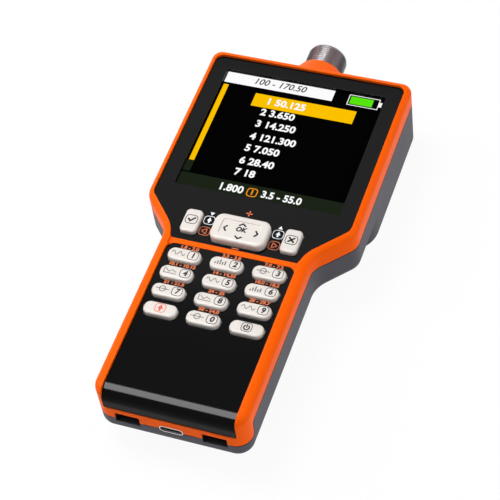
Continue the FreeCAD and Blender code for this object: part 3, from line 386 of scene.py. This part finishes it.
# legends printed on the panels
panelInk = {
    "thick": 0.02, "gap": 0.001, "ring": (4.3, 4.0), "ringLine": 0.24, "ringCorner": 1.4, "arrow": 1.7,
    "triangle": 1.2, "triangleLine": 0.32, "shiftRing": (13.4, -43.9), "turnRing": (13.5, -49.1),
    "pointer": 1.0, "downPointer": (-13.3, -40.6), "upPointer": (13.4, -40.9),
    "plus": (0.0, -37.3), "plusSize": (2.5, 0.5), "minus": (0.2, -54.0), "minusSize": (2.7, 0.42),
    "bandSize": 2.05, "bandRise": (4.38, 4.65), "bandShift": 0.3, "bandWeight": 0.10,
    "bands": ["1.8 - 2.0", "3.5 - 3.8", "7.0 - 7.2", "10.1 - 10.15", "14 - 14.35", "18.0 - 18.2",
              "21 - 21.5", "24 - 25", "28 - 29.7", "", "50 - 54.0", ""],
}


def shiftArrow(bm, x, y, size, low, thick):
    # solid arrow pointing up the face, for the second-function key
    addTriangle(bm, x, y + size * 0.18, size * 0.62, low, thick, 0.0)
    addPlate(bm, x, y - size * 0.38, size * 0.42, size * 0.55, 0, low, thick)


def buildPanelInk():
    ink = panelInk
    thick, low = ink["thick"] * mm, panelZ + ink["gap"] * mm
    white, orange = bmesh.new(), bmesh.new()
    for side in (-1, 1):
        x, y = facePoint(side * ink["shiftRing"][0], ink["shiftRing"][1])
        addPlate(white, x, y, ink["ring"][0] * mm, ink["ring"][1] * mm, ink["ringCorner"] * mm, low, thick,
                 hole=ink["ringLine"] * mm)
        shiftArrow(white, x, y, ink["arrow"] * mm, low, thick)
        x, y = facePoint(side * ink["turnRing"][0], ink["turnRing"][1])
        addPlate(orange, x, y, ink["ring"][0] * mm, ink["ring"][1] * mm, ink["ringCorner"] * mm, low, thick,
                 hole=ink["ringLine"] * mm)
        reach = ink["triangle"] * mm
        foot = x - side * reach * 0.6
        tips = [(x + side * reach, y), (foot, y + reach), (foot, y - reach)]
        addStroke(orange, tips + tips[:1], ink["triangleLine"] * mm, low, thick)
    x, y = facePoint(*ink["downPointer"])
    addTriangle(white, x, y, ink["pointer"] * mm, low, thick, math.radians(180))
    x, y = facePoint(*ink["upPointer"])
    addTriangle(white, x, y, ink["pointer"] * mm, low, thick, 0.0)
    x, y = facePoint(*ink["plus"])
    length, line = (size * mm for size in ink["plusSize"])
    addPlate(orange, x, y, length, line, 0, low, thick)
    addPlate(orange, x, y, line, length, 0, low, thick)
    x, y = facePoint(*ink["minus"])
    length, line = (size * mm for size in ink["minusSize"])
    addPlate(orange, x, y, length, line, 0, low, thick)
    for index, ((keyName, keyX, keyY), label) in enumerate(zip(keyCentres(), ink["bands"])):
        if label:
            rise = ink["bandRise"][0 if index < 3 else 1] * mm
            addText(orange, label, keyX + ink["bandShift"] * mm, keyY + rise, ink["bandSize"] * mm, low,
                    thick, weight=ink["bandWeight"] * mm, stretch=1.05)
    finishPiece("panel_white_legends", white, "case", "inkWhite")
    finishPiece("panel_orange_legends", orange, "case", "inkOrange")


def keyCentres():
    names = ["key_1", "key_2", "key_3", "key_4", "key_5", "key_6", "key_7", "key_8", "key_9",
             "key_function", "key_0", "key_power"]
    centres = []
    for keyName in names:
        low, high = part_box(keyName)
        centres.append((keyName, (low.x + high.x) / 2, (low.y + high.y) / 2))
    return centres


# legends on the keys
keyInk = {"thick": 0.02, "gap": 0.001, "ring": (4.1, 3.9), "ringLine": 0.26, "ringCorner": 1.35,
          "ringRise": 0.25, "digit": 3.2, "weight": 0.13, "slant": 0.12, "digitShift": 3.3,
          "iconShift": -2.3, "iconLine": 0.28,
          "sideRing": (4.7, 4.2), "sideLine": 0.3, "sideCorner": 1.4, "sideStroke": 0.72, "sideRise": 0.2,
          "arrow": 2.0, "power": 1.0, "powerLine": 0.5, "powerDrop": 0.1}


def addIcon(bm, kind, x, y, low, thick):
    # small drawn sign beside the digit, one of four simple figures
    line = keyInk["iconLine"] * mm
    if kind == 0:
        wave = [(x + (t - 6) * 0.42 * mm, y + 0.85 * mm * math.sin(t * math.pi / 3)) for t in range(13)]
        addStroke(bm, wave, line, low, thick)
    elif kind == 1:
        for step, tall in enumerate((0.8, 1.5, 2.2, 1.2, 1.8)):
            addPlate(bm, x + (step - 2) * 0.95 * mm, y + (tall - 2.2) / 2 * mm, 0.5 * mm, tall * mm, 0, low,
                     thick)
    elif kind == 2:
        arc = [(x + 1.15 * mm * math.cos(a * math.pi / 8), y + 1.15 * mm * math.sin(a * math.pi / 8))
               for a in range(17)]
        addStroke(bm, arc, line, low, thick)
        addStroke(bm, [(x - 2.4 * mm, y), (x + 2.4 * mm, y)], line, low, thick)
    else:
        axes = [(-2.4, 1.1), (-2.4, -1.1), (2.4, -1.1)]
        trace = [(-1.9, 0.9), (-0.6, -0.5), (0.6, 0.5), (2.1, -0.3)]
        for points in (axes, trace):
            addStroke(bm, [(x + u * mm, y + v * mm) for u, v in points], line, low, thick)


def addPowerSign(bm, x, y, radius, low, thick, width):
    turns = [step * math.pi / 9 for step in range(2, 17)]
    arc = [(x + radius * math.sin(turn), y + radius * math.cos(turn)) for turn in turns]
    addStroke(bm, arc, width, low, thick)
    addStroke(bm, [(x, y + radius * 1.25), (x, y + radius * 0.15)], width, low, thick)


def buildKeyInk():
    ink = keyInk
    thick = ink["thick"] * mm
    for index, (keyName, x, y) in enumerate(keyCentres()):
        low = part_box(keyName)[1].z + ink["gap"] * mm
        marks = bmesh.new()
        symbol = keyName[4:]
        ringX = x + ink["digitShift"] * mm if symbol.isdigit() else x
        ringY = y + ink["ringRise"] * mm
        addPlate(marks, ringX, ringY, ink["ring"][0] * mm, ink["ring"][1] * mm, ink["ringCorner"] * mm, low,
                 thick, hole=ink["ringLine"] * mm)
        if symbol.isdigit():
            addText(marks, symbol, ringX, ringY, ink["digit"] * mm, low, thick, weight=ink["weight"] * mm,
                    slant=ink["slant"])
            sign = bmesh.new()
            addIcon(sign, index % 4, x + ink["iconShift"] * mm, ringY, low, thick)
            finishPiece("sign_on_" + keyName, sign, keyName, "inkGrey")
        elif symbol == "power":
            addPowerSign(marks, ringX, ringY - ink["powerDrop"] * mm, ink["power"] * mm, low, thick,
                         ink["powerLine"] * mm)
        else:
            shiftArrow(marks, ringX, ringY, ink["arrow"] * mm, low, thick)
        finishPiece("legend_on_" + keyName, marks, keyName, "inkRed" if symbol == "function" else "inkBlack")
    for keyName in ("key_confirm", "key_cancel"):
        boxLow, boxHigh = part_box(keyName)
        x, y = (boxLow.x + boxHigh.x) / 2, (boxLow.y + boxHigh.y) / 2 + ink["sideRise"] * mm
        low = boxHigh.z + ink["gap"] * mm
        marks = bmesh.new()
        addPlate(marks, x, y, ink["sideRing"][0] * mm, ink["sideRing"][1] * mm, ink["sideCorner"] * mm, low,
                 thick, hole=ink["sideLine"] * mm)
        if keyName == "key_confirm":
            tick = [(-1.1, 0.1), (-0.3, -0.8), (1.2, 0.9)]
            addStroke(marks, [(x + u * mm, y + v * mm) for u, v in tick], ink["sideStroke"] * mm, low, thick)
        else:
            for tilt in (-1, 1):
                addStroke(marks, [(x - 0.95 * mm, y - tilt * 0.9 * mm), (x + 0.95 * mm, y + tilt * 0.9 * mm)],
                          ink["sideStroke"] * mm, low, thick)
        finishPiece("legend_on_" + keyName, marks, keyName, "inkBlack")


padInk = {
    "dish": 0.4, "thick": 0.02, "gap": 0.001, "line": 0.66, "reach": 1.15, "rise": 0.45, "sign": 2.8,
    # place on the pad, direction, and 1 where the sign stands on the rim in place of the dish
    "arrows": [(0.3, 2.35, 0, 1, 0), (0.45, -4.0, 0, -1, 1), (-5.7, -0.5, -1, 0, 0), (6.4, -0.5, 1, 0, 0)],
}


def buildPadInk():
    ink = padInk
    padLow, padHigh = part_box("nav_pad")
    x, y = (padLow.x + padHigh.x) / 2, (padLow.y + padHigh.y) / 2
    rimLevel = padHigh.z + ink["gap"] * mm
    dishLevel = rimLevel - ink["dish"] * mm
    thick, reach, rise = ink["thick"] * mm, ink["reach"], ink["rise"]
    marks = bmesh.new()
    for u, v, du, dv, onRim in ink["arrows"]:
        tip = (x + (u + du * rise) * mm, y + (v + dv * rise) * mm)
        ends = [(x + (u - du * rise + s * dv * reach) * mm, y + (v - dv * rise + s * du * reach) * mm)
                for s in (-1, 1)]
        addStroke(marks, [ends[0], tip, ends[1]], ink["line"] * mm, rimLevel if onRim else dishLevel, thick)
    addText(marks, "OK", x + 0.3 * mm, y, ink["sign"] * mm, dishLevel, thick, weight=0.15 * mm, stretch=0.95,
            slant=0.1)
    finishPiece("legend_on_nav_pad", marks, "nav_pad", "inkBlack")


buildPanelInk()
buildKeyInk()
buildPadInk()
print("legends done")

# black sheets inside the strap slots: painted shade for the dark depth of the slots
slotShadeSheet = {"gap": 0.03, "wall": 0.06, "setBack": 0.25}


def buildSlotShadeSheets():
    for opening in frame["record"]["physics"]["openings"]:
        if not opening["name"].startswith("strap_slot"):
            continue
        low, high = (Vector(corner) for corner in opening["box_m"])
        grow = slotShadeSheet["gap"] * mm
        low -= Vector((grow, -slotShadeSheet["setBack"] * mm, grow))
        high += Vector((grow, grow, grow))
        size = high - low
        bm = bmesh.new()
        cube = bmesh.ops.create_cube(bm, size=1.0)["verts"]
        bmesh.ops.scale(bm, verts=cube, vec=size)
        bmesh.ops.translate(bm, verts=cube, vec=(low + high) / 2)
        mouth = min(bm.faces, key=lambda face: face.calc_center_median().y)
        bmesh.ops.delete(bm, geom=[mouth], context="FACES")
        bmesh.ops.recalc_face_normals(bm, faces=bm.faces)
        bmesh.ops.solidify(bm, geom=list(bm.faces), thickness=slotShadeSheet["wall"] * mm)
        finishPiece(opening["name"] + "_shade_sheet", bm, "case", "slotPaintedShade")


buildSlotShadeSheets()
print("slot shade_sheets done")


# floor, light and camera
def whiteMix(tree, base, white, share):
    # camera, mirror and see-through rays get the white shader by this share
    rays = tree.nodes.new("ShaderNodeLightPath")
    first = tree.nodes.new("ShaderNodeMath")
    first.operation = "MAXIMUM"
    link(tree, rays.outputs["Is Camera Ray"], first.inputs[0])
    link(tree, rays.outputs["Is Glossy Ray"], first.inputs[1])
    second = tree.nodes.new("ShaderNodeMath")
    second.operation = "MAXIMUM"
    link(tree, first.outputs[0], second.inputs[0])
    link(tree, rays.outputs["Is Transmission Ray"], second.inputs[1])
    scaled = tree.nodes.new("ShaderNodeMath")
    scaled.operation = "MULTIPLY"
    scaled.inputs[1].default_value = share
    link(tree, second.outputs[0], scaled.inputs[0])
    mix = tree.nodes.new("ShaderNodeMixShader")
    link(tree, scaled.outputs[0], mix.inputs[0])
    link(tree, base, mix.inputs[1])
    link(tree, white, mix.inputs[2])
    return mix.outputs[0]


studio = {"floorRadius": 4.0, "floorDrop": 0.0002, "floorColour": (0.86, 0.86, 0.86, 1.0), "floorWhite": 0.93,
          "skyColour": (0.95, 0.97, 1.0, 1.0), "skyStrength": 0.42}


def buildFloor():
    bm = bmesh.new()
    bmesh.ops.create_circle(bm, cap_ends=True, segments=64, radius=studio["floorRadius"])
    mesh = bpy.data.meshes.new("studio_floor")
    bm.to_mesh(mesh)
    bm.free()
    floor = bpy.data.objects.new("studio_floor", mesh)
    bpy.context.scene.collection.objects.link(floor)
    floor.location.z = -studio["floorDrop"]
    material = bpy.data.materials.new("paleFloor")
    material.use_nodes = True
    tree = material.node_tree
    shader = tree.nodes["Principled BSDF"]
    shader.inputs["Base Color"].default_value = studio["floorColour"]
    shader.inputs["Roughness"].default_value = 0.9
    shader.inputs["Specular IOR Level"].default_value = 0.1
    glow = tree.nodes.new("ShaderNodeEmission")
    out = tree.nodes["Material Output"]
    mixed = whiteMix(tree, shader.outputs[0], glow.outputs[0], studio["floorWhite"])
    link(tree, mixed, out.inputs["Surface"])
    mesh.materials.append(material)


def buildWorld():
    world = bpy.data.worlds.new("studio")
    bpy.context.scene.world = world
    world.use_nodes = True
    tree = world.node_tree
    dim = tree.nodes["Background"]
    dim.inputs["Color"].default_value = studio["skyColour"]
    dim.inputs["Strength"].default_value = studio["skyStrength"]
    bright = tree.nodes.new("ShaderNodeBackground")
    out = tree.nodes["World Output"]
    link(tree, whiteMix(tree, dim.outputs[0], bright.outputs[0], 1.0), out.inputs["Surface"])


lamps = {  # places in metres, tilt in degrees about X then Y, power in watts
    "overheadSoftbox": {"place": (-0.25, 0.10, 0.70), "tilt": (0, 0), "size": (0.30, 0.30), "power": 3.75,
                        "reflected": False},
    "bendCard": {"place": (-0.20, -0.165, 0.62), "tilt": (0, 0), "size": (0.30, 0.52), "power": 17.0,
                 "lighting": False},
    "headCard": {"place": (-0.20, 0.47, 0.62), "tilt": (0, 0), "size": (0.40, 0.25), "power": 0.52,
                 "lighting": False},
    "leftSoftbox": {"place": (-0.75, -0.05, 0.55), "tilt": (-5, -52), "size": (0.4, 0.4), "power": 2.6},
    "rightSoftbox": {"place": (0.8, 0.0, 0.35), "tilt": (0, 66), "size": (0.5, 0.3), "power": 2.2},
}


def buildLamps():
    for lampName, lamp in lamps.items():
        data = bpy.data.lights.new(lampName, "AREA")
        data.shape = "RECTANGLE"
        data.size, data.size_y = lamp["size"]
        data.energy = lamp["power"]
        item = bpy.data.objects.new(lampName, data)
        bpy.context.scene.collection.objects.link(item)
        item.location = lamp["place"]
        tiltX, tiltY = (math.radians(angle) for angle in lamp["tilt"])
        item.rotation_euler = (tiltX, tiltY, 0)
        item.visible_diffuse = lamp.get("lighting", True)
        item.visible_glossy = lamp.get("reflected", True)


cameraSet = {"azimuth": 26.61, "elevation": 51.87, "roll": 9.56, "lens": 127.476,
             "place": (183.197, -407.496, 504.852)}  # millimetres from the display's middle on the panel face


def buildCamera():
    data = bpy.data.cameras.new("photoCamera")
    data.lens = cameraSet["lens"]
    data.sensor_width = 36.0
    data.clip_start, data.clip_end = 0.01, 20.0
    camera = bpy.data.objects.new("photoCamera", data)
    bpy.context.scene.collection.objects.link(camera)
    turn, lift, roll = (math.radians(cameraSet[k]) for k in ("azimuth", "elevation", "roll"))
    back = Vector((math.sin(turn) * math.cos(lift), -math.cos(turn) * math.cos(lift), math.sin(lift)))
    right = Vector((math.cos(turn), math.sin(turn), 0))
    up = back.cross(right)
    xAxis = math.cos(roll) * right - math.sin(roll) * up
    yAxis = math.sin(roll) * right + math.cos(roll) * up
    camera.rotation_mode = "QUATERNION"
    camera.rotation_quaternion = Matrix((xAxis, yAxis, back)).transposed().to_quaternion()
    place = cameraSet["place"]
    camera.location = (place[0] * mm, place[1] * mm + displayY, place[2] * mm + panelZ)
    bpy.context.scene.camera = camera


buildFloor()
buildWorld()
buildLamps()
buildCamera()
bpy.context.scene.view_settings.view_transform = "Standard"
print("studio done")
